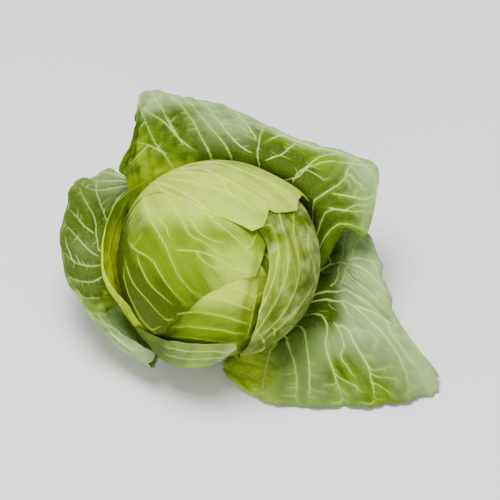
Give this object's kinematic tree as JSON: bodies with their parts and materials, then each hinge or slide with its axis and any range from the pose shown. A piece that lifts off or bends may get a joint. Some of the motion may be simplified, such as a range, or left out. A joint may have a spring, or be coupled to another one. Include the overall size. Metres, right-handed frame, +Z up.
{
  "type": "cabbage head",
  "caption": "Whole white cabbage: a dense round head of packed leaves on a short cut stump, with loose wrapper leaves opened round it.",
  "frame": {"origin": "centre of the stump's cut face, on the surface that the head stands on", "axes": "+Z up through the head, -Y to the side that the picture shows, +X to the right in the picture"},
  "size_m": [0.3132, 0.2216, 0.1728],
  "materials": {
    "stump_cut": "pale cut stalk, dull and slightly fibrous",
    "packed_leaf": "smooth waxy pale green leaf with pale veins",
    "collar_leaf": "smooth waxy yellow-green leaf",
    "wrapper_leaf": "mid green leaf with a grey waxy bloom and pale veins"
  },
  "bodies": {
    "root": {"stump": "stump_cut", "heart": "packed_leaf", "head_leaf_front": "packed_leaf", "head_leaf_left": "packed_leaf", "head_leaf_right": "packed_leaf", "head_leaf_top": "packed_leaf", "collar_leaf": "collar_leaf", "front_wrapper": "wrapper_leaf", "back_wrapper": "wrapper_leaf", "right_wrapper": "wrapper_leaf", "left_wrapper": "wrapper_leaf"}
  },
  "joints": []
}
